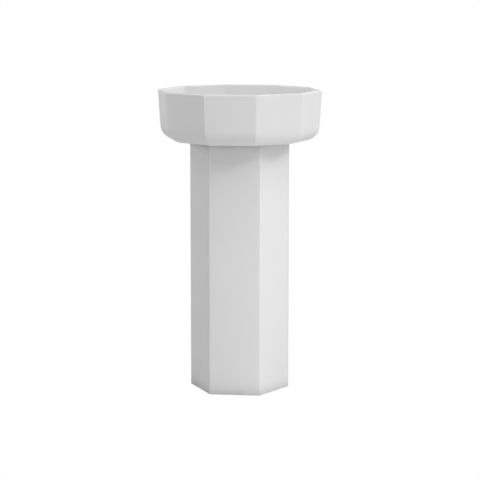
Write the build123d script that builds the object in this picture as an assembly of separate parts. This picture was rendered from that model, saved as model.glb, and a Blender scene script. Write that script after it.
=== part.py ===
from build123d import *
from math import cos, radians, sin, tan
import os

# A baptismal font: a ten-sided bowl with a plugged waste, bolted to a hollow six-sided column
# that hides the trap and the drain pipe. Millimetres, +Z up, the origin at the middle of the
# column's foot. The front is the flat of both polygons that faces -Y; both have corners on X.

# ---- driving dimensions -------------------------------------------------------------------

total_height = 900.0
running_gap = 0.05          # radial clearance of threads, pins and pushed-together tubes
tube_gap = 0.3              # radial clearance where a tube only passes through
overcut = 1.0               # how far a cutting shape reaches past the surface it cuts

bowl_sides = 10
bowl_height = 150.0
bowl_width = 468.0          # across the flats at the rim
bowl_draft = 3.4            # degrees that each side leans outwards
bowl_wall = 15.0
bowl_floor = 30.0           # from the underside to the flat of the basin
bowl_heel_radius = 46.0     # the large round between side and underside
basin_heel_radius = 34.0
bowl_corner_radius = 5.0
rim_radius = 4.0
dish_radius = 165.0         # shallow cone in the basin floor that drains to the waste
dish_depth = 6.0
spigot_width = 215.0        # six-sided locating block under the bowl
spigot_depth = 10.0

column_sides = 6
column_width = 259.0        # across the flats
column_wall = 18.0
column_corner_radius = 3.0
column_top_radius = 1.5
column_foot_chamfer = 1.0
shelf_thickness = 20.0      # inner shelf that the bowl is bolted down to
shelf_hole_radius = 65.0
shelf_gap = 2.0             # between the shelf and the bowl's spigot
gasket_thickness = 2.0
gasket_inset = 5.0          # the gasket lies this far inside the column's outer faces
gasket_width = 12.0

m8_radius = 4.0
m8_head_width = 13.0
m8_head_height = 5.3
m8_hole_radius = 4.5
m8_washer_radius = 8.0
m8_washer_thickness = 1.6
m8_insert_radius = 6.0
m8_head_chamfer = 0.6
bowl_bolt_circle = 88.0     # radius of the circle of the bowl's bolts
bowl_bolt_angles = (90, 210, 330)
bowl_bolt_length = 38.0
bowl_insert_length = 18.0

hatch_width = 96.0          # service opening in the rear wall
hatch_low = 120.0
hatch_high = 626.0
hatch_ledge = 15.0          # rebate all round the opening that the panel lies in
panel_thickness = 6.0
panel_gap = 0.5
panel_corner_radius = 6.0
panel_chamfer = 0.6
m5_radius = 2.5
m5_head_radius = 5.0
m5_head_height = 2.8
m5_length = 14.0
m5_socket_width = 3.0
m5_socket_depth = 2.0
m5_hole_radius = 2.8
m5_insert_radius = 3.5
m5_insert_length = 10.0
insert_floor = 1.5           # closed end of every threaded insert
knurl_depth = 0.4

bracket_thickness = 5.0     # steel angles that hold the foot to the floor
bracket_width = 70.0
bracket_depth = 50.0
bracket_height = 55.0
bracket_corner_radius = 4.0
bracket_hole_x = 20.0
bracket_wall_hole_z = 35.0
bracket_floor_hole_inset = 28.0
floor_hole_radius = 5.0
bracket_bolt_length = 16.0
bracket_insert_length = 13.0

waste_flange_radius = 31.5
waste_flange_thickness = 3.0
waste_thread_radius = 20.95  # G 1 1/4
waste_bore_radius = 18.5
waste_hole_radius = 23.0     # hole through the bowl
waste_recess_radius = 33.0
waste_recess_depth = 3.0
waste_length = 75.0          # from the flange's top to the tail
waste_edge_chamfer = 1.4
waste_funnel_depth = 9.0
waste_funnel_radius = 22.95
flange_seal_thickness = 1.0
flange_seal_gap = 0.1
lower_seal_thickness = 5.0
lower_seal_width = 9.0
backnut_thickness = 10.0
backnut_width = 52.0
backnut_chamfer = 1.2

plug_travel = 9.0
plug_radius = 30.5
plug_rise = 6.6              # from the seal's underside to the crown of the closed plug
plug_seat_gap = 0.1
plug_edge_height = 2.0
plug_edge_bevel = 0.6
plug_seal_thickness = 2.3
plug_seal_inner_radius = 24.5
plug_seal_outer_radius = 29.0
plug_seal_groove = 1.0
plug_boss_radius = 8.0
plug_boss_depth = 9.4
stem_radius = 4.0
stem_head_radius = 5.8
stem_head_height = 3.0
stem_head_play = 1.0         # left above the stem's head when the plug is open
stem_engagement = 1.0        # how far the stem reaches up past the plug's underside
cartridge_drop = 40.0        # from the waste's flange down to the cartridge's seat
cartridge_radius = 8.0
cartridge_floor_thickness = 2.0
cartridge_height = 29.0
cartridge_bore_radius = 6.2
cartridge_stud_radius = 4.95
cartridge_stud_length = 12.0
collar_height = 6.0
spring_wire_radius = 0.4
spring_mean_radius = 5.2
spring_turns = 4.5
spring_end_gap = 0.1
spider_height = 8.0
spoke_width = 3.0
spoke_bite = 1.0             # how far each spoke runs into the walls at its ends

pipe_radius = 16.0           # DN 32 trap tubes
pipe_bore_radius = 14.5
trap_thread_radius = 20.0
trap_radius = 30.0
trap_wall = 2.5
trap_top = 612.0
trap_neck_height = 18.0
trap_low = 550.0
trap_outlet_z = 590.0
trap_outlet_reach = 50.0
trap_socket_depth = 16.0
trap_socket_end_gap = 2.0
trap_cup_radius = 32.5
trap_cup_low = 480.0
trap_cup_floor = 4.0
trap_cup_lap = 15.0          # how far the cup screws up over the body
trap_seal_thickness = 2.0
tail_flange_thickness = 2.0
dip_tube_low = 500.0
slip_nut_radius = 24.0
slip_nut_height = 22.0
slip_nut_lip = 4.0
slip_seal_height = 6.0
slip_nut_bevel = 1.0
slip_nut_ribs = 8
cup_ribs = 12
grip_rib_width = 2.4
drain_x = -90.0
drain_bend_radius = 30.0
drain_insert_depth = 32.0    # how far the bend pushes into the floor pipe
floor_pipe_radius = 20.0     # DN 40 spigot
floor_pipe_bore_radius = 18.2
floor_pipe_top = 330.0
floor_seal_depth = 24.0
floor_seal_lip = 3.0
floor_seal_overhang = 1.5

# ---- levels and distances worked out from them --------------------------------------------

bowl_low = total_height - bowl_height
basin_low = bowl_low + bowl_floor
dish_low = basin_low - dish_depth
recess_low = dish_low - waste_recess_depth
spigot_low = bowl_low - spigot_depth
column_high = bowl_low - gasket_thickness
shelf_high = spigot_low - shelf_gap
shelf_low = shelf_high - shelf_thickness

column_face = column_width / 2
column_inner_face = column_face - column_wall
panel_back = column_face - panel_thickness
hatch_middle = (hatch_low + hatch_high) / 2
hatch_height = hatch_high - hatch_low
panel_screw_x = (hatch_width + hatch_ledge) / 2
panel_screw_z = (hatch_height + hatch_ledge) / 2
bracket_floor_hole_y = column_inner_face - bracket_floor_hole_inset

waste_seat = recess_low + flange_seal_thickness + waste_flange_thickness
waste_tail = waste_seat - waste_length
lower_seal_low = spigot_low - lower_seal_thickness
plug_seal_low = waste_seat + plug_seat_gap
plug_under = plug_seal_low + plug_seal_thickness - plug_seal_groove
plug_crown = plug_seal_low + plug_rise
cartridge_low = waste_seat - cartridge_drop
cartridge_high = cartridge_low + cartridge_height
collar_low = cartridge_high - collar_height
cartridge_floor = cartridge_low + cartridge_floor_thickness
stem_head_high = collar_low - plug_travel - stem_head_play
stem_head_low = stem_head_high - stem_head_height
tail_washer_low = waste_tail - trap_seal_thickness
tail_flange_low = tail_washer_low - tail_flange_thickness


# ---- shapes used more than once -----------------------------------------------------------

def turned(*outline):
    """A solid of revolution about Z from (radius, height) points."""
    face = make_face(Polyline(*outline, close=True))
    return revolve(Plane.XZ * face, Axis.Z)


def ring(inner_radius, outer_radius, low, high):
    """A plain round ring between two heights."""
    return turned((inner_radius, low), (outer_radius, low), (outer_radius, high), (inner_radius, high))


def rod(radius, low, high):
    """A plain round bar between two heights."""
    return Pos(0, 0, low) * extrude(Circle(radius), amount=high - low)


def prism(sides, width, low, high):
    """An upright regular prism, its width across the flats and two of its corners on X."""
    outline = RegularPolygon(width / 2, sides, major_radius=False)
    return Pos(0, 0, low) * extrude(outline, amount=high - low)


def block(x_size, y_size, z_size, centre):
    """A plain block about its centre."""
    return Pos(*centre) * Box(x_size, y_size, z_size)


def aimed(shape, position, direction):
    """The shape with its origin at position and its own +Z along direction."""
    sideways = (0, 1, 0) if direction[0] else (1, 0, 0)
    return Plane(origin=position, x_dir=sideways, z_dir=direction).location * shape


def faceted_tub(rim_apothem, low, sides, heel_radius, corner_radius):
    """A drafted prism with a round heel: the same rounded side outline meets itself at each corner."""
    low_apothem = rim_apothem - (total_height - low) * tan(radians(bowl_draft))
    far = rim_apothem * 1.5
    face = make_face(Polyline((-far, total_height), (rim_apothem, total_height), (low_apothem, low),
                              (-far, low), close=True))
    heel = face.vertices().sort_by_distance((low_apothem, low, 0))[0]
    slab = extrude(Plane.XZ * fillet(heel, heel_radius), amount=far, both=True)
    tub = slab
    for side in range(1, sides):
        tub = tub & Rot(0, 0, side * 360 / sides) * slab
    tub = Rot(0, 0, 180 / sides) * tub
    corners = [edge for edge in tub.edges().filter_by(GeomType.LINE) if abs(edge.tangent_at(0.5).Z) > 0.9]
    return fillet(corners, corner_radius)


def gripped_nut(thread_radius, lip_radius, outer_radius, height, lip):
    """A round plastic slip nut from z = 0 up, with its lip at the top and grip ribs round it."""
    bevelled = outer_radius - slip_nut_bevel
    nut = turned((thread_radius, 0), (bevelled, 0), (outer_radius, slip_nut_bevel),
                 (outer_radius, height - slip_nut_bevel), (bevelled, height), (lip_radius, height),
                 (lip_radius, height - lip), (thread_radius, height - lip))
    rib = block(grip_rib_width, 2 * grip_rib_width, height - 4 * slip_nut_bevel,
                (outer_radius + 0.4, 0, height / 2))
    for rib_number in range(slip_nut_ribs):
        nut += Rot(0, 0, rib_number * 360 / slip_nut_ribs) * rib
    return nut - rod(thread_radius, 0, height - lip)


def hex_bolt(length):
    """An M8 bolt: the head's bearing face at the origin, the shank along +Z."""
    head = prism(6, m8_head_width, -m8_head_height, 0)
    head = chamfer(head.faces().sort_by(Axis.Z)[0].edges(), m8_head_chamfer)
    return head + rod(m8_radius, 0, length)


def insert(radius, bore_radius, length):
    """A brass threaded insert: its mouth at the origin, its body along +Z, with three knurl bands."""
    bore_depth = length - insert_floor
    body = turned((0, length), (radius, length), (radius, 0), (bore_radius, 0),
                  (bore_radius, bore_depth), (0, bore_depth))
    for band in (0.3, 0.5, 0.7):
        middle = length * band
        body -= ring(radius - knurl_depth, radius + overcut, middle - knurl_depth, middle + knurl_depth)
    return body


def on_bolt_circle(shape):
    """One copy of the shape for each of the bowl's three bolts."""
    return [
        Pos(bowl_bolt_circle * cos(radians(angle)), bowl_bolt_circle * sin(radians(angle)), 0) * shape
        for angle in bowl_bolt_angles
    ]


# ---- bowl ---------------------------------------------------------------------------------

def make_bowl():
    rim_apothem = bowl_width / 2
    bowl = faceted_tub(rim_apothem, bowl_low, bowl_sides, bowl_heel_radius, bowl_corner_radius)
    bowl -= faceted_tub(rim_apothem - bowl_wall, basin_low, bowl_sides, basin_heel_radius,
                        bowl_corner_radius + 1)
    bowl = fillet(bowl.faces().sort_by(Axis.Z)[-1].edges(), rim_radius)
    bowl -= turned((0, dish_low), (waste_recess_radius, dish_low), (dish_radius, basin_low),
                   (dish_radius, basin_low + overcut), (0, basin_low + overcut))
    bowl += prism(6, spigot_width, spigot_low, bowl_low)
    bowl -= rod(waste_recess_radius, recess_low, basin_low)
    bowl -= rod(waste_hole_radius, spigot_low - overcut, basin_low)
    insert_hole = rod(m8_insert_radius, spigot_low - overcut, spigot_low + bowl_insert_length)
    for hole in on_bolt_circle(insert_hole):
        bowl -= hole
    return bowl


def make_bowl_inserts():
    one = insert(m8_insert_radius, m8_radius + running_gap, bowl_insert_length)
    return Compound(children=on_bolt_circle(Pos(0, 0, spigot_low) * one))


def make_bowl_bolts():
    bearing = shelf_low - m8_washer_thickness
    return Compound(children=on_bolt_circle(Pos(0, 0, bearing) * hex_bolt(bowl_bolt_length)))


def make_bowl_bolt_washers():
    one = ring(m8_radius + 0.2, m8_washer_radius, shelf_low - m8_washer_thickness, shelf_low)
    return Compound(children=on_bolt_circle(one))


def make_bowl_seat_gasket():
    outer = prism(column_sides, column_width - 2 * gasket_inset, column_high, bowl_low)
    inner_width = column_width - 2 * (gasket_inset + gasket_width)
    return outer - prism(column_sides, inner_width, column_high - overcut, bowl_low + overcut)


# ---- column -------------------------------------------------------------------------------

def make_column():
    column = prism(column_sides, column_width, 0, column_high)
    column = fillet(column.edges().filter_by(Axis.Z), column_corner_radius)
    column = fillet(column.faces().sort_by(Axis.Z)[-1].edges(), column_top_radius)
    column = chamfer(column.faces().sort_by(Axis.Z)[0].edges(), column_foot_chamfer)
    inner_width = 2 * column_inner_face
    column -= prism(column_sides, inner_width, -overcut, shelf_low)
    column -= prism(column_sides, inner_width, shelf_high, column_high + overcut)
    column -= rod(shelf_hole_radius, shelf_low - overcut, shelf_high + overcut)
    for hole in on_bolt_circle(rod(m8_hole_radius, shelf_low - overcut, shelf_high + overcut)):
        column -= hole
    column -= hatch_block(hatch_width, hatch_height, column_inner_face - overcut, column_face + overcut)
    rebate_width = hatch_width + 2 * hatch_ledge
    rebate_height = hatch_height + 2 * hatch_ledge
    column -= hatch_block(rebate_width, rebate_height, panel_back, column_face + overcut)
    for x, z in panel_screw_places():
        column -= aimed(rod(m5_insert_radius, 0, m5_insert_length), (x, panel_back, z), (0, -1, 0))
    for x, side in bracket_places():
        mouth = (x, side * column_inner_face, bracket_wall_hole_z)
        column -= aimed(rod(m8_insert_radius, 0, bracket_insert_length), mouth, (0, side, 0))
    return column


def hatch_block(width, height, near_y, far_y):
    """A block through part of the rear wall, its corners rounded like the panel's."""
    outline = RectangleRounded(width, height, panel_corner_radius)
    return aimed(extrude(outline, amount=far_y - near_y), (0, near_y, hatch_middle), (0, 1, 0))


def panel_screw_places():
    return [
        (side * panel_screw_x, hatch_middle + end * panel_screw_z)
        for side in (-1, 1)
        for end in (-1, 1)
    ]


def make_access_panel():
    width = hatch_width + 2 * hatch_ledge - 2 * panel_gap
    height = hatch_height + 2 * hatch_ledge - 2 * panel_gap
    panel = hatch_block(width, height, panel_back, column_face)
    panel = chamfer(panel.faces().sort_by(Axis.Y)[-1].edges(), panel_chamfer)
    shank_hole = rod(m5_hole_radius, -overcut, panel_thickness + overcut)
    head_seat = turned((0, 0), (m5_head_radius + 0.2, 0), (m5_hole_radius, m5_head_height),
                       (0, m5_head_height))
    for x, z in panel_screw_places():
        panel -= aimed(shank_hole + head_seat, (x, column_face, z), (0, -1, 0))
    return panel


def make_panel_screws():
    head_top = 0.1
    screw = turned((0, head_top), (m5_head_radius, head_top), (m5_radius, m5_head_height),
                   (m5_radius, m5_length), (0, m5_length))
    screw -= prism(6, m5_socket_width, -overcut, m5_socket_depth)
    screws = [aimed(screw, (x, column_face, z), (0, -1, 0)) for x, z in panel_screw_places()]
    return Compound(children=screws)


def make_panel_inserts():
    one = insert(m5_insert_radius, m5_radius + running_gap, m5_insert_length)
    inserts = [aimed(one, (x, panel_back, z), (0, -1, 0)) for x, z in panel_screw_places()]
    return Compound(children=inserts)


def bracket_places():
    """Each bracket bolt's x, with the side of the column it is on: -1 front, +1 rear."""
    return [(x, side) for side in (-1, 1) for x in (-bracket_hole_x, bracket_hole_x)]


def make_floor_bracket(side):
    """A steel angle against the front (-1) or rear (+1) inner face."""
    wall_y = column_inner_face
    leg_y = wall_y - bracket_thickness
    foot_y = wall_y - bracket_depth
    outline = make_face(Polyline((wall_y, 0), (wall_y, bracket_height), (leg_y, bracket_height),
                                 (leg_y, bracket_thickness), (foot_y, bracket_thickness),
                                 (foot_y, 0), close=True))
    bend = outline.vertices().sort_by_distance((leg_y, bracket_thickness, 0))[0]
    bracket = extrude(Plane.YZ * fillet(bend, bracket_thickness), amount=bracket_width / 2, both=True)
    tips = [edge for edge in bracket.edges() if abs(edge.length - bracket_thickness) < 0.1]
    bracket = fillet(tips, bracket_corner_radius)
    floor_hole = rod(floor_hole_radius, -overcut, bracket_thickness + overcut)
    wall_hole = rod(m8_hole_radius, -overcut, bracket_thickness + overcut)
    for x in (-bracket_hole_x, bracket_hole_x):
        bracket -= Pos(x, bracket_floor_hole_y, 0) * floor_hole
        bracket -= aimed(wall_hole, (x, leg_y, bracket_wall_hole_z), (0, 1, 0))
    return bracket if side > 0 else Rot(0, 0, 180) * bracket


def make_bracket_bolts():
    leg_y = column_inner_face - bracket_thickness
    bolt = hex_bolt(bracket_bolt_length)
    return Compound(children=[
        aimed(bolt, (x, side * leg_y, bracket_wall_hole_z), (0, side, 0)) for x, side in bracket_places()
    ])


def make_bracket_inserts():
    one = insert(m8_insert_radius, m8_radius + running_gap, bracket_insert_length)
    return Compound(children=[
        aimed(one, (x, side * column_inner_face, bracket_wall_hole_z), (0, side, 0))
        for x, side in bracket_places()
    ])


# ---- waste and plug -----------------------------------------------------------------------

def make_waste_body():
    flange_low = waste_seat - waste_flange_thickness
    body = turned((waste_bore_radius, waste_tail), (waste_thread_radius, waste_tail),
                  (waste_thread_radius, flange_low), (waste_flange_radius, flange_low),
                  (waste_flange_radius, waste_seat - waste_edge_chamfer),
                  (waste_flange_radius - waste_edge_chamfer, waste_seat),
                  (waste_funnel_radius, waste_seat), (waste_bore_radius, waste_seat - waste_funnel_depth))
    spider_low = cartridge_low - spider_height
    body += ring(cartridge_stud_radius + running_gap, cartridge_radius, spider_low, cartridge_low)
    spoke_length = waste_bore_radius - cartridge_radius + 2 * spoke_bite
    spoke_x = (waste_bore_radius + cartridge_radius) / 2
    spoke = block(spoke_length, spoke_width, spider_height, (spoke_x, 0, spider_low + spider_height / 2))
    for angle in bowl_bolt_angles:
        body += Rot(0, 0, angle) * spoke
    return body


def make_waste_flange_seal():
    high = recess_low + flange_seal_thickness - flange_seal_gap
    return ring(waste_thread_radius + 0.5, waste_flange_radius - 0.5, recess_low, high)


def make_waste_lower_seal():
    inner = waste_thread_radius + 2 * running_gap
    return ring(inner, waste_thread_radius + lower_seal_width, lower_seal_low, spigot_low)


def make_waste_backnut():
    nut = prism(6, backnut_width, lower_seal_low - backnut_thickness, lower_seal_low)
    nut = chamfer(nut.faces().sort_by(Axis.Z)[0].edges(), backnut_chamfer)
    return nut - rod(waste_thread_radius + running_gap, 0, total_height)


def make_click_cartridge():
    stud_low = cartridge_low - cartridge_stud_length
    bore = stem_radius + running_gap
    return turned((0, stud_low), (cartridge_stud_radius, stud_low), (cartridge_stud_radius, cartridge_low),
                  (cartridge_radius, cartridge_low), (cartridge_radius, cartridge_high - 1),
                  (cartridge_radius - 1, cartridge_high), (bore, cartridge_high), (bore, collar_low),
                  (cartridge_bore_radius, collar_low), (cartridge_bore_radius, cartridge_floor),
                  (0, cartridge_floor))


def make_plug_spring():
    end_gap = spring_wire_radius + spring_end_gap
    height = stem_head_low - cartridge_floor - 2 * end_gap
    path = Helix(pitch=height / spring_turns, height=height, radius=spring_mean_radius)
    section = Plane(origin=path @ 0, z_dir=path % 0) * Circle(spring_wire_radius)
    return Pos(0, 0, cartridge_floor + end_gap) * sweep(section, path, is_frenet=True)


def make_plug_stem():
    top = plug_under + stem_engagement
    return turned((0, stem_head_low), (stem_head_radius, stem_head_low), (stem_head_radius, stem_head_high),
                  (stem_radius, stem_head_high), (stem_radius, top), (0, top))


def make_plug_cap():
    """A shallow dome with a groove for its seal and a threaded boss for the stem."""
    edge_z = plug_under + plug_edge_height
    bevel_radius = plug_radius - plug_edge_bevel
    boss_low = plug_under - plug_boss_depth
    hole = stem_radius + running_gap
    hole_high = plug_under + stem_engagement + 0.2
    groove_high = plug_under + plug_seal_groove
    under = Polyline((0, hole_high), (hole, hole_high), (hole, boss_low), (plug_boss_radius, boss_low),
                     (plug_boss_radius, plug_under), (plug_seal_inner_radius, plug_under),
                     (plug_seal_inner_radius, groove_high), (plug_seal_outer_radius, groove_high),
                     (plug_seal_outer_radius, plug_under), (plug_radius, plug_under),
                     (plug_radius, edge_z - plug_edge_bevel), (bevel_radius, edge_z))
    dome = ThreePointArc((bevel_radius, edge_z), dome_middle(bevel_radius, edge_z), (0, plug_crown))
    face = make_face(under + dome + Line((0, plug_crown), (0, hole_high)))
    return revolve(Plane.XZ * face, Axis.Z)


def dome_middle(edge_radius, edge_z):
    """The point half way out on the arc from the cap's edge to its crown."""
    rise = plug_crown - edge_z
    sphere = (edge_radius ** 2 + rise ** 2) / (2 * rise)
    middle = edge_radius / 2
    return (middle, plug_crown - sphere + (sphere ** 2 - middle ** 2) ** 0.5)


def make_plug_seal():
    high = plug_seal_low + plug_seal_thickness
    return ring(plug_seal_inner_radius, plug_seal_outer_radius, plug_seal_low, high)


# ---- trap and drain -----------------------------------------------------------------------

def make_tailpiece():
    flange_high = tail_washer_low
    return turned((pipe_bore_radius, dip_tube_low), (pipe_radius, dip_tube_low), (pipe_radius, tail_flange_low),
                  (trap_thread_radius, tail_flange_low), (trap_thread_radius, flange_high),
                  (pipe_bore_radius, flange_high))


def make_tailpiece_washer():
    return ring(pipe_radius, trap_thread_radius, tail_washer_low, waste_tail)


def make_tailpiece_nut():
    nut = gripped_nut(waste_thread_radius + running_gap, pipe_radius + tube_gap, slip_nut_radius + 1,
                      slip_nut_height, slip_nut_lip)
    lip_face = (0, 0, tail_flange_low - slip_nut_lip + slip_nut_height)
    return aimed(nut, lip_face, (0, 0, -1))


def make_trap_body():
    """The bottle trap's upper half: threaded neck, closed shoulder and a side outlet."""
    inner = trap_radius - trap_wall
    neck_high = trap_top + trap_neck_height
    neck_bore = pipe_radius + tube_gap
    body = turned((inner, trap_low), (trap_radius, trap_low), (trap_radius, trap_top - 4),
                  (trap_radius - 4, trap_top), (trap_thread_radius, trap_top), (trap_thread_radius, neck_high),
                  (neck_bore, neck_high), (neck_bore, trap_top - trap_wall), (inner - 3, trap_top - trap_wall),
                  (inner, trap_top - trap_wall - 3))
    outlet = rod(trap_thread_radius - 1, 0, trap_outlet_reach - inner + 1)
    outlet = aimed(outlet, (-(inner - 1), 0, trap_outlet_z), (-1, 0, 0))
    bore = aimed(rod(pipe_bore_radius, 0, trap_outlet_reach), (-pipe_bore_radius, 0, trap_outlet_z), (-1, 0, 0))
    socket = aimed(rod(pipe_radius + 2 * running_gap, 0, trap_socket_depth + overcut),
                   (-(trap_outlet_reach - trap_socket_depth), 0, trap_outlet_z), (-1, 0, 0))
    return body + (outlet - rod(inner, trap_low, trap_top)) - bore - socket


def make_trap_cup():
    """The cup that unscrews for cleaning, with grip ribs round its foot."""
    seal_step = trap_low - trap_seal_thickness
    lap_high = trap_low + trap_cup_lap
    inner = trap_radius - trap_wall
    cup = turned((0, trap_cup_low), (trap_cup_radius - 3, trap_cup_low), (trap_cup_radius, trap_cup_low + 3),
                 (trap_cup_radius, lap_high), (trap_radius + running_gap, lap_high),
                 (trap_radius + running_gap, seal_step), (inner, seal_step),
                 (inner, trap_cup_low + trap_cup_floor), (0, trap_cup_low + trap_cup_floor))
    rib = block(grip_rib_width, 4.0, 24.0, (trap_cup_radius, 0, trap_cup_low + 17))
    for rib_number in range(cup_ribs):
        cup += Rot(0, 0, rib_number * 360 / cup_ribs) * rib
    return cup


def make_trap_cup_seal():
    return ring(trap_radius - trap_wall, trap_radius, trap_low - trap_seal_thickness, trap_low)


def make_slip_joint_nut():
    """A slip nut on a neck that ends at z = 0, its lip above the seal."""
    nut = gripped_nut(trap_thread_radius + running_gap, pipe_radius + tube_gap, slip_nut_radius,
                      slip_nut_height, slip_nut_lip)
    return Pos(0, 0, slip_seal_height + slip_nut_lip - slip_nut_height) * nut


def make_slip_joint_seal():
    """A tapered rubber ring on a neck that ends at z = 0."""
    inner = pipe_radius + running_gap
    return turned((inner, 0), (trap_thread_radius - 1, 0), (trap_thread_radius - 1, 2),
                  (pipe_radius + 2, slip_seal_height), (inner, slip_seal_height))


def at_trap_inlet(shape):
    return Pos(0, 0, trap_top + trap_neck_height) * shape


def at_trap_outlet(shape):
    return aimed(shape, (-trap_outlet_reach, 0, trap_outlet_z), (-1, 0, 0))


def make_trap_outlet_nut():
    return at_trap_outlet(make_slip_joint_nut())


def make_outlet_bend():
    start = (trap_socket_depth - trap_socket_end_gap - trap_outlet_reach, 0, trap_outlet_z)
    corner = (drain_x, 0, trap_outlet_z)
    end = (drain_x, 0, floor_pipe_top - drain_insert_depth)
    path = FilletPolyline(start, corner, end, radius=drain_bend_radius)
    section = Circle(pipe_radius) - Circle(pipe_bore_radius)
    return sweep(Plane(origin=start, z_dir=(-1, 0, 0)) * section, path)


def make_floor_pipe():
    return Pos(drain_x, 0, 0) * ring(floor_pipe_bore_radius, floor_pipe_radius, 0, floor_pipe_top)


def make_floor_pipe_seal():
    """A rubber reducer pushed into the floor pipe's mouth, with a lip on top of it."""
    low = floor_pipe_top - floor_seal_depth
    lip_high = floor_pipe_top + floor_seal_lip
    inner = pipe_radius + running_gap
    outer = floor_pipe_bore_radius - running_gap
    lip_radius = floor_pipe_radius + floor_seal_overhang
    seal = turned((inner, low), (outer, low), (outer, floor_pipe_top), (lip_radius, floor_pipe_top),
                  (lip_radius, lip_high), (inner, lip_high))
    return Pos(drain_x, 0, 0) * seal


# ---- the assembly -------------------------------------------------------------------------

parts = {
    "bowl": make_bowl(),
    "bowl_inserts": make_bowl_inserts(),
    "bowl_bolts": make_bowl_bolts(),
    "bowl_bolt_washers": make_bowl_bolt_washers(),
    "bowl_seat_gasket": make_bowl_seat_gasket(),
    "column": make_column(),
    "access_panel": make_access_panel(),
    "panel_screws": make_panel_screws(),
    "panel_inserts": make_panel_inserts(),
    "front_floor_bracket": make_floor_bracket(-1),
    "rear_floor_bracket": make_floor_bracket(1),
    "bracket_bolts": make_bracket_bolts(),
    "bracket_inserts": make_bracket_inserts(),
    "waste_body": make_waste_body(),
    "waste_flange_seal": make_waste_flange_seal(),
    "waste_lower_seal": make_waste_lower_seal(),
    "waste_backnut": make_waste_backnut(),
    "click_cartridge": make_click_cartridge(),
    "plug_spring": make_plug_spring(),
    "plug_stem": make_plug_stem(),
    "plug_cap": make_plug_cap(),
    "plug_seal": make_plug_seal(),
    "tailpiece": make_tailpiece(),
    "tailpiece_washer": make_tailpiece_washer(),
    "tailpiece_nut": make_tailpiece_nut(),
    "trap_body": make_trap_body(),
    "trap_cup": make_trap_cup(),
    "trap_cup_seal": make_trap_cup_seal(),
    "trap_inlet_nut": at_trap_inlet(make_slip_joint_nut()),
    "trap_inlet_seal": at_trap_inlet(make_slip_joint_seal()),
    "trap_outlet_nut": make_trap_outlet_nut(),
    "trap_outlet_seal": at_trap_outlet(make_slip_joint_seal()),
    "outlet_bend": make_outlet_bend(),
    "floor_pipe": make_floor_pipe(),
    "floor_pipe_seal": make_floor_pipe_seal(),
}

os.makedirs("parts", exist_ok=True)
for name, shape in parts.items():
    export_step(shape, f"parts/{name}.step")
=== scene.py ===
import math

import bmesh
import bpy
from mathutils import Matrix, Vector


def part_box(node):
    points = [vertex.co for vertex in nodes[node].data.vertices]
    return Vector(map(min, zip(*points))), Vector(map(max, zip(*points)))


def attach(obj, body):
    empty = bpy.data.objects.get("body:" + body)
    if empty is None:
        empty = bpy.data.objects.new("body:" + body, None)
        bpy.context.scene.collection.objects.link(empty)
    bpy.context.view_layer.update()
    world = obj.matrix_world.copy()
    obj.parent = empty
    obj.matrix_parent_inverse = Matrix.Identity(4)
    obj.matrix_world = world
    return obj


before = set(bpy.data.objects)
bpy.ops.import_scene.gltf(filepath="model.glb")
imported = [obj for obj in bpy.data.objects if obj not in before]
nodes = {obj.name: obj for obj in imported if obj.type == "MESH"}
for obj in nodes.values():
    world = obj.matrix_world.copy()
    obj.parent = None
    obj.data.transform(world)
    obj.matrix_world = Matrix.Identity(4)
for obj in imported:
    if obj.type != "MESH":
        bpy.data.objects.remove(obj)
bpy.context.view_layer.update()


# A matt white font on a white studio floor. Metres, +Z up, the front towards -Y.

# ---- camera -------------------------------------------------------------------------------

camera_azimuth = 6.607        # degrees to the right of the font's front
camera_distance = 5.0983      # level distance from the font's axis
camera_height = 1.2391
camera_pitch = 8.826          # degrees downwards
camera_yaw = -0.015           # degrees off the font's axis, to the right
camera_lens = 128.41          # millimetres on a 36 mm sensor
studio_radius = 150.0         # the floor runs on so far that its edge lies at the horizon


def around_font(azimuth, distance, height):
    """A point at that azimuth from the camera's own, so that 90 is off to the camera's right."""
    angle = math.radians(camera_azimuth + azimuth)
    return Vector((math.sin(angle) * distance, -math.cos(angle) * distance, height))


def add_camera():
    data = bpy.data.cameras.new("camera")
    data.lens = camera_lens
    data.sensor_width = 36.0
    data.clip_end = 2 * studio_radius
    camera = bpy.data.objects.new("camera", data)
    camera.location = around_font(0, camera_distance, camera_height)
    heading = math.radians(camera_azimuth + camera_yaw)
    camera.rotation_euler = (math.radians(90 - camera_pitch), 0, heading)
    bpy.context.scene.collection.objects.link(camera)
    bpy.context.scene.camera = camera


# ---- studio -------------------------------------------------------------------------------

sky_strength = 0.335          # light from the white studio all round
floor_color = 0.65           # what the floor gives back as light
white_seen = 1.0              # how bright floor and walls look to the camera

softbox_target = Vector((0, 0, 0.5))

# azimuth from the camera, level distance, height, side of the square, watts
softboxes = {
    "key": (46, 4.0, 3.3, 1.0, 43.0),
    "over": (-30, 0.6, 2.3, 0.6, 2.0),
    "near_high": (31, 0.95, 1.65, 0.6, 4.8),
    "near_low": (25, 0.95, 0.1, 0.6, 3.8),
    "near_left": (-30, 0.95, 1.65, 0.6, 1.4),
    "near_right": (90, 0.95, 0.5, 0.6, 0.7),
    "left_side": (-85, 2.2, 1.2, 1.0, 9.6),
    "left_rear_high": (-115, 1.8, 2.4, 1.0, 7.6),
    "left_rear": (-150, 2.2, 1.2, 1.0, 7.5),
    "right_rear": (125, 4.4, 2.85, 1.0, 94.0),
}


def add_softbox(name, azimuth, distance, height, side, power):
    data = bpy.data.lights.new(name, "AREA")
    data.shape = "SQUARE"
    data.size = side
    data.energy = power
    light = bpy.data.objects.new(name, data)
    light.location = around_font(azimuth, distance, height)
    aim = softbox_target - light.location
    light.rotation_euler = aim.to_track_quat("-Z", "Y").to_euler()
    light.visible_camera = False
    bpy.context.scene.collection.objects.link(light)


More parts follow.
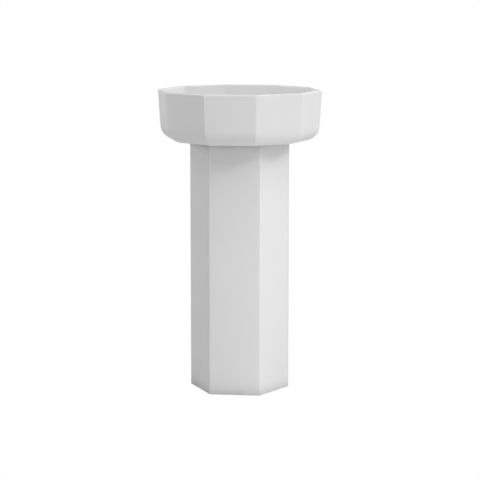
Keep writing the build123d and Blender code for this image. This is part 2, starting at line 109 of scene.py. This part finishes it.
def for_camera_and_light(tree, seen, lighting, output):
    """Camera rays meet one shader, the rays that carry light meet another."""
    rays = tree.nodes.new("ShaderNodeLightPath")
    mix = tree.nodes.new("ShaderNodeMixShader")
    tree.links.new(rays.outputs["Is Camera Ray"], mix.inputs["Fac"])
    tree.links.new(lighting, mix.inputs[1])
    tree.links.new(seen, mix.inputs[2])
    tree.links.new(mix.outputs["Shader"], output.inputs["Surface"])


def add_sky():
    world = bpy.data.worlds.new("studio")
    world.use_nodes = True
    bpy.context.scene.world = world
    tree = world.node_tree
    tree.nodes.clear()
    lighting = tree.nodes.new("ShaderNodeBackground")
    lighting.inputs["Strength"].default_value = sky_strength
    seen = tree.nodes.new("ShaderNodeBackground")
    seen.inputs["Strength"].default_value = white_seen
    for background in (lighting, seen):
        background.inputs["Color"].default_value = (1, 1, 1, 1)
    output = tree.nodes.new("ShaderNodeOutputWorld")
    for_camera_and_light(tree, seen.outputs["Background"], lighting.outputs["Background"], output)


def add_floor():
    bpy.ops.mesh.primitive_circle_add(vertices=96, radius=studio_radius, fill_type="NGON")
    floor = bpy.context.object
    floor.name = "floor"
    surface = Surface("pale_floor", floor_color, 0.9)
    tree = surface.tree
    seen = tree.nodes.new("ShaderNodeEmission")
    seen.inputs["Strength"].default_value = white_seen
    output = tree.nodes["Material Output"]
    for_camera_and_light(tree, seen.outputs["Emission"], surface.shader.outputs["BSDF"], output)
    floor.data.materials.append(surface.material)


def add_studio():
    add_sky()
    add_floor()
    for name, placing in softboxes.items():
        add_softbox(name, *placing)
    bpy.context.scene.view_settings.view_transform = "Standard"


# ---- how a material is put together -------------------------------------------------------

class Surface:
    """A Principled material fed by procedural nodes whose scales are per metre of the object."""

    def __init__(self, name, color, roughness, metallic=0.0):
        self.material = bpy.data.materials.new(name)
        self.material.use_nodes = True
        self.tree = self.material.node_tree
        self.shader = self.tree.nodes["Principled BSDF"]
        if isinstance(color, (int, float)):
            color = (color, color, color)
        self.shader.inputs["Base Color"].default_value = (*color, 1)
        self.shader.inputs["Roughness"].default_value = roughness
        self.shader.inputs["Metallic"].default_value = metallic
        self.place = None

    def add(self, kind, **values):
        node = self.tree.nodes.new("ShaderNode" + kind)
        for key, value in values.items():
            setattr(node, key, value)
        return node

    def link(self, output, target):
        self.tree.links.new(output, target)

    def position(self, stretch=(1, 1, 1)):
        """Object coordinates, squeezed so that a stretch of 10 draws features ten times as long."""
        if self.place is None:
            self.place = self.add("TexCoord").outputs["Object"]
        if stretch == (1, 1, 1):
            return self.place
        mapping = self.add("Mapping")
        mapping.inputs["Scale"].default_value = [1 / s for s in stretch]
        self.link(self.place, mapping.inputs["Vector"])
        return mapping.outputs["Vector"]

    def noise(self, scale, detail=3.0, roughness=0.55, stretch=(1, 1, 1)):
        node = self.add("TexNoise")
        node.inputs["Scale"].default_value = scale
        node.inputs["Detail"].default_value = detail
        node.inputs["Roughness"].default_value = roughness
        self.link(self.position(stretch), node.inputs["Vector"])
        return node.outputs["Fac"]

    def cells(self, scale):
        """Voronoi cells: the distance from each one's middle, and a random number for each."""
        node = self.add("TexVoronoi")
        node.inputs["Scale"].default_value = scale
        self.link(self.position(), node.inputs["Vector"])
        split = self.add("SeparateColor")
        self.link(node.outputs["Color"], split.inputs["Color"])
        return node.outputs["Distance"], split.outputs["Red"]

    def spots(self, spacing, radius, share):
        """1 in round spots of about that radius in metres, in about that share of the cells."""
        distance, chance = self.cells(1 / spacing)
        disc = self.remap(distance, 0.6 * radius / spacing, radius / spacing, 1.0, 0.0)
        return self.math("MULTIPLY", disc, self.math("LESS_THAN", chance, share))

    def bands(self, period, axis="Z", distortion=0.0):
        """Fine parallel lines across one axis, as a tool or a die leaves them."""
        node = self.add("TexWave", wave_type="BANDS", bands_direction=axis)
        node.inputs["Scale"].default_value = math.tau / (20 * period)
        node.inputs["Distortion"].default_value = distortion
        self.link(self.position(), node.inputs["Vector"])
        return node.outputs["Fac"]

    def remap(self, value, low, high, to_low=0.0, to_high=1.0):
        node = self.add("MapRange")
        node.inputs["From Min"].default_value = low
        node.inputs["From Max"].default_value = high
        node.inputs["To Min"].default_value = to_low
        node.inputs["To Max"].default_value = to_high
        self.link(value, node.inputs["Value"])
        return node.outputs["Result"]

    def math(self, operation, a, b):
        node = self.add("Math", operation=operation)
        for socket, value in zip(node.inputs, (a, b)):
            if isinstance(value, (int, float)):
                socket.default_value = value
            else:
                self.link(value, socket)
        return node.outputs["Value"]

    def mix(self, factor, a, b):
        """A colour between a and b; each is a colour or another node's output."""
        node = self.add("Mix", data_type="RGBA")
        self.link(factor, node.inputs["Factor"])
        sockets = [s for s in node.inputs if s.type == "RGBA"]
        for socket, value in zip(sockets, (a, b)):
            if isinstance(value, tuple):
                socket.default_value = (*value, 1)
            else:
                self.link(value, socket)
        return [s for s in node.outputs if s.type == "RGBA"][0]

    def height(self, axis="Z"):
        """The distance along one of the object's axes."""
        split = self.add("SeparateXYZ")
        self.link(self.position(), split.inputs["Vector"])
        return split.outputs[axis]

    def color_from(self, output):
        self.link(output, self.shader.inputs["Base Color"])

    def roughness_from(self, output):
        self.link(output, self.shader.inputs["Roughness"])

    def bump_from(self, layers):
        """Bump from (height output, depth in metres) layers, one on another."""
        normal = None
        for value, depth in layers:
            bump = self.add("Bump")
            bump.inputs["Strength"].default_value = 1.0
            bump.inputs["Distance"].default_value = depth
            self.link(value, bump.inputs["Height"])
            if normal is not None:
                self.link(normal, bump.inputs["Normal"])
            normal = bump.outputs["Normal"]
        self.link(normal, self.shader.inputs["Normal"])


# ---- materials ----------------------------------------------------------------------------

# Near-black colour that the stone is pulled towards in its painted shade bands, which stand in for
# contact shadows.
painted_shade_color = (0.02, 0.02, 0.02)


def cast_stone(name, painted_shade_bands=()):
    """Matt white mineral composite: faint clouding, sand grain, sparse pinholes, a satin skin.

    Each band in the list is (height, reach, share): painted shade, standing in for a contact shadow,
    darkens the stone by that share where it meets something else at that height, and fades out over the
    reach, upwards or (negative) downwards."""
    surface = Surface(name, 0.71, 0.55)
    cloud = surface.remap(surface.noise(5.0), 0.35, 0.65)
    color = surface.mix(cloud, (0.700, 0.700, 0.700), (0.722, 0.722, 0.722))
    grain = surface.remap(surface.noise(900.0, detail=2.0), 0.3, 0.7, 0.0, 0.12)
    color = surface.mix(grain, color, (0.62, 0.62, 0.62))
    pinholes = surface.spots(0.009, 0.0003, 0.25)
    color = surface.mix(surface.math("MULTIPLY", pinholes, 0.4), color, (0.45, 0.44, 0.42))
    patchy = surface.remap(surface.noise(30.0), 0.3, 0.7, 0.7, 1.3)
    # Painted shade: each band darkens the stone towards the bowl joint or towards the foot, standing in
    # for a contact shadow; patchy only makes it uneven.
    for height, reach, share in painted_shade_bands:
        near = surface.remap(surface.height(), height, height + reach, 1.0, 0.0)
        dust_and_painted_shade = surface.math("MULTIPLY", surface.math("POWER", near, 2.0), patchy)
        color = surface.mix(surface.math("MULTIPLY", dust_and_painted_shade, share), color, painted_shade_color)
    surface.color_from(color)
    surface.roughness_from(surface.remap(surface.noise(14.0), 0.3, 0.7, 0.50, 0.62))
    surface.bump_from([
        (surface.noise(9.0), 0.0004),
        (surface.noise(700.0), 0.00003),
        (surface.math("SUBTRACT", 1.0, pinholes), 0.0002),
    ])
    return surface.material


def bedding_rubber(name):
    """Dark grey EPDM strip: extruded lines round it, a dry bloom in patches."""
    surface = Surface(name, 0.05, 0.8)
    bloom = surface.remap(surface.noise(45.0), 0.4, 0.75)
    surface.color_from(surface.mix(bloom, (0.040, 0.040, 0.042), (0.095, 0.094, 0.090)))
    surface.roughness_from(surface.remap(bloom, 0.0, 1.0, 0.70, 0.88))
    surface.bump_from([(surface.bands(0.0005), 0.00004), (surface.noise(1200.0), 0.00002)])
    return surface.material


def seal_rubber(name):
    """Black moulded nitrile: a silky grain, faint grease, a few pale dust specks."""
    surface = Surface(name, 0.03, 0.5)
    specks = surface.spots(0.003, 0.0002, 0.15)
    surface.color_from(surface.mix(specks, (0.026, 0.026, 0.027), (0.20, 0.19, 0.18)))
    surface.roughness_from(surface.remap(surface.noise(90.0), 0.35, 0.7, 0.38, 0.62))
    surface.bump_from([(surface.noise(1500.0), 0.00002)])
    return surface.material


def chrome_plate(name):
    """Polished chrome: a hint of orange peel, hazes where it was wiped, dried water spots."""
    surface = Surface(name, (0.62, 0.63, 0.64), 0.1, metallic=1.0)
    dried = surface.spots(0.006, 0.0012, 0.3)
    haze = surface.remap(surface.noise(60.0, stretch=(3, 1, 1)), 0.42, 0.72)
    worn = surface.math("MAXIMUM", haze, dried)
    surface.color_from(surface.mix(worn, (0.63, 0.64, 0.65), (0.54, 0.545, 0.54)))
    surface.roughness_from(surface.remap(worn, 0.0, 1.0, 0.07, 0.24))
    surface.bump_from([(surface.noise(160.0), 0.00001)])
    return surface.material


def fitting_brass(name):
    """Bare turned brass: tool marks 0.3 mm apart and a brown tarnish that comes and goes."""
    surface = Surface(name, (0.78, 0.56, 0.27), 0.3, metallic=1.0)
    tarnish = surface.remap(surface.noise(70.0), 0.40, 0.72)
    surface.color_from(surface.mix(tarnish, (0.80, 0.58, 0.28), (0.46, 0.31, 0.15)))
    surface.roughness_from(surface.remap(tarnish, 0.0, 1.0, 0.22, 0.45))
    surface.bump_from([(surface.bands(0.0003, distortion=0.3), 0.00002), (surface.noise(900.0), 0.00001)])
    return surface.material


def insert_brass(name):
    """Bright brass of the cast-in inserts: fine knurling dulled by a film of stone dust."""
    surface = Surface(name, (0.82, 0.62, 0.33), 0.35, metallic=1.0)
    film = surface.remap(surface.noise(220.0), 0.35, 0.65, 0.0, 0.6)
    surface.color_from(surface.mix(film, (0.83, 0.63, 0.34), (0.66, 0.56, 0.42)))
    surface.roughness_from(surface.remap(film, 0.0, 0.6, 0.28, 0.55))
    knurl, _ = surface.cells(1800.0)
    surface.bump_from([(knurl, 0.00008)])
    return surface.material


def zinc_plate(name):
    """Blue-passivated zinc on steel fasteners: a cool, slightly rainbowed satin."""
    surface = Surface(name, (0.62, 0.65, 0.68), 0.36, metallic=1.0)
    tint = surface.remap(surface.noise(130.0), 0.35, 0.65)
    color = surface.mix(tint, (0.58, 0.62, 0.68), (0.68, 0.66, 0.60))
    dull = surface.remap(surface.noise(40.0), 0.55, 0.75, 0.0, 0.5)
    surface.color_from(surface.mix(dull, color, (0.50, 0.50, 0.50)))
    surface.roughness_from(surface.remap(surface.noise(260.0), 0.3, 0.7, 0.28, 0.46))
    surface.bump_from([(surface.noise(1400.0), 0.00001)])
    return surface.material


def hot_dip_zinc(name):
    """Galvanised angle: spangle crystals about 8 mm across, each a shade of its own."""
    surface = Surface(name, (0.52, 0.54, 0.56), 0.45, metallic=1.0)
    distance, shade = surface.cells(125.0)
    color = surface.mix(shade, (0.42, 0.44, 0.46), (0.64, 0.66, 0.67))
    chalk = surface.remap(surface.noise(55.0), 0.58, 0.75, 0.0, 0.6)
    surface.color_from(surface.mix(chalk, color, (0.70, 0.70, 0.69)))
    surface.roughness_from(surface.remap(shade, 0.0, 1.0, 0.32, 0.56))
    surface.bump_from([(distance, 0.00003), (surface.noise(1000.0), 0.00002)])
    return surface.material


def stainless(name):
    """Stainless screws and spring: drawn and turned lines, a clean grey shine."""
    surface = Surface(name, (0.58, 0.57, 0.55), 0.28, metallic=1.0)
    streaks = surface.noise(500.0, stretch=(8, 1, 8))
    shine = surface.remap(streaks, 0.35, 0.65)
    surface.color_from(surface.mix(shine, (0.55, 0.54, 0.52), (0.62, 0.61, 0.60)))
    surface.roughness_from(surface.remap(streaks, 0.3, 0.7, 0.20, 0.38))
    surface.bump_from([(surface.bands(0.0002, axis="Y"), 0.00001), (streaks, 0.00001)])
    return surface.material


def trap_plastic(name):
    """White polypropylene: spark-eroded satin skin, flow marks, a little yellowing and dust."""
    surface = Surface(name, 0.80, 0.4)
    flow = surface.remap(surface.noise(25.0, stretch=(1, 1, 3)), 0.35, 0.7)
    color = surface.mix(flow, (0.80, 0.80, 0.785), (0.77, 0.76, 0.72))
    dust_and_painted_shade = surface.remap(surface.noise(300.0), 0.6, 0.8, 0.0, 0.25)
    surface.color_from(surface.mix(dust_and_painted_shade, color, (0.55, 0.53, 0.49)))
    surface.roughness_from(surface.remap(surface.noise(18.0), 0.3, 0.7, 0.33, 0.48))
    surface.bump_from([(surface.noise(1600.0), 0.00002), (surface.noise(60.0), 0.00005)])
    return surface.material


def drain_plastic(name):
    """Grey soil pipe: long extrusion streaks down it and pale scuffs from handling."""
    surface = Surface(name, 0.30, 0.42)
    streaks = surface.noise(350.0, stretch=(1, 1, 50))
    color = surface.mix(surface.remap(streaks, 0.35, 0.65), (0.285, 0.29, 0.30), (0.325, 0.33, 0.335))
    scuffs = surface.remap(surface.noise(160.0, stretch=(1, 1, 6)), 0.62, 0.72, 0.0, 0.5)
    surface.color_from(surface.mix(scuffs, color, (0.50, 0.50, 0.49)))
    surface.roughness_from(surface.remap(scuffs, 0.0, 0.5, 0.36, 0.60))
    surface.bump_from([(streaks, 0.00004), (scuffs, 0.00002)])
    return surface.material


# ---- threads, which the CAD leaves as plain cylinders --------------------------------------

pipe_pitch = 0.00231          # eleven threads to the inch, on the waste and on the trap's necks
thread_depth = 0.0004         # how far the crest stands out of the cylinder
thread_root = 0.0001          # how far the ridge's two edges lie inside the cylinder
thread_half_width = 0.4 * pipe_pitch
steps_per_turn = 32
run_out_steps = steps_per_turn / 2

waste_radius = 0.02095
waste_plain_end = 0.002       # left without thread at each end of the waste's tail
neck_radius = 0.020
neck_thread = 0.014
neck_thread_start = 0.016     # below the neck's top end
outlet_thread = 0.012
outlet_thread_start = 0.014   # in from the outlet's open end


def thread_profiles(radius, length):
    """One triangle for each step along a helix about Z; the crest runs out over half a turn."""
    steps = round(length / pipe_pitch * steps_per_turn)
    for step in range(steps + 1):
        angle = math.tau * step / steps_per_turn
        middle = pipe_pitch * step / steps_per_turn
        run_out = min(1.0, (step + 1) / run_out_steps, (steps + 1 - step) / run_out_steps)
        outline = (
            (radius - thread_root, middle - thread_half_width),
            (radius + thread_depth * run_out, middle),
            (radius - thread_root, middle + thread_half_width),
        )
        yield [(r * math.cos(angle), r * math.sin(angle), z) for r, z in outline]


def add_thread(name, radius, length, start, toward, material):
    """A closed helical ridge from start, about the direction toward, riding on the font."""
    profiles = list(thread_profiles(radius, length))
    shape = bmesh.new()
    rows = [[shape.verts.new(point) for point in profile] for profile in profiles]
    shape.faces.new(rows[0])
    shape.faces.new(reversed(rows[-1]))
    for row, following in zip(rows, rows[1:]):
        for corner in range(3):
            after = (corner + 1) % 3
            shape.faces.new((row[corner], following[corner], following[after], row[after]))
    bmesh.ops.recalc_face_normals(shape, faces=shape.faces)
    turned = Vector(toward).to_track_quat("Z", "Y").to_matrix().to_4x4()
    shape.transform(Matrix.Translation(start) @ turned)
    mesh = bpy.data.meshes.new(name)
    shape.to_mesh(mesh)
    shape.free()
    mesh.materials.append(material)
    piece = bpy.data.objects.new(name, mesh)
    bpy.context.scene.collection.objects.link(piece)
    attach(piece, "font")


def add_threads(chrome, plastic):
    """Threads on the waste's tail and on the trap's two necks, between and inside their nuts."""
    tail_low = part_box("waste_body")[0][2]
    tail_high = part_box("waste_backnut")[1][2]
    add_thread(
        "waste_thread", waste_radius, tail_high - tail_low - 2 * waste_plain_end,
        (0, 0, tail_low + waste_plain_end), (0, 0, 1), chrome,
    )
    trap_low, trap_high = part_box("trap_body")
    add_thread(
        "trap_neck_thread", neck_radius, neck_thread,
        (0, 0, trap_high[2] - neck_thread_start), (0, 0, 1), plastic,
    )
    outlet_nut_low, outlet_nut_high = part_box("trap_outlet_nut")
    outlet_height = (outlet_nut_low[2] + outlet_nut_high[2]) / 2
    add_thread(
        "trap_outlet_thread", neck_radius, outlet_thread,
        (trap_low[0] + outlet_thread_start, 0, outlet_height), (-1, 0, 0), plastic,
    )


# ---- which node wears what ----------------------------------------------------------------

def set_material(material, *names):
    for name in names:
        for slot in nodes[name].material_slots:
            slot.material = material


def finish_stone():
    foot_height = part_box("column")[0][2]
    joint_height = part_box("column")[1][2]
    # Painted shade: one dark band at the foot and two under the bowl joint, standing in for the contact
    # shadows there.
    painted_shade_bands = [
        (foot_height, 0.040, 0.25),
        (joint_height, -0.035, 0.20),
        (joint_height, -0.014, 0.36),
    ]
    set_material(cast_stone("bowl_stone"), "bowl")
    set_material(cast_stone("column_stone", painted_shade_bands), "column", "access_panel")


def finish_seals():
    set_material(bedding_rubber("seat_gasket_rubber"), "bowl_seat_gasket")
    set_material(
        seal_rubber("seal_rubber"), "waste_flange_seal", "waste_lower_seal", "plug_seal",
        "tailpiece_washer", "trap_cup_seal", "trap_inlet_seal", "trap_outlet_seal", "floor_pipe_seal",
    )


def finish_metal():
    chrome = chrome_plate("waste_chrome")
    set_material(chrome, "waste_body", "plug_cap")
    set_material(fitting_brass("fitting_brass"), "waste_backnut", "click_cartridge", "plug_stem")
    set_material(insert_brass("insert_brass"), "bowl_inserts", "panel_inserts", "bracket_inserts")
    set_material(zinc_plate("zinc_steel"), "bowl_bolts", "bowl_bolt_washers", "bracket_bolts")
    set_material(hot_dip_zinc("galvanised_steel"), "front_floor_bracket", "rear_floor_bracket")
    set_material(stainless("stainless_steel"), "panel_screws", "plug_spring")
    return chrome


def finish_plastic():
    plastic = trap_plastic("trap_plastic")
    set_material(
        plastic, "tailpiece", "tailpiece_nut", "trap_body", "trap_cup",
        "trap_inlet_nut", "trap_outlet_nut", "outlet_bend",
    )
    set_material(drain_plastic("drain_plastic"), "floor_pipe")
    return plastic


# ---- everything ---------------------------------------------------------------------------

add_camera()
add_studio()
finish_stone()
finish_seals()
add_threads(finish_metal(), finish_plastic())
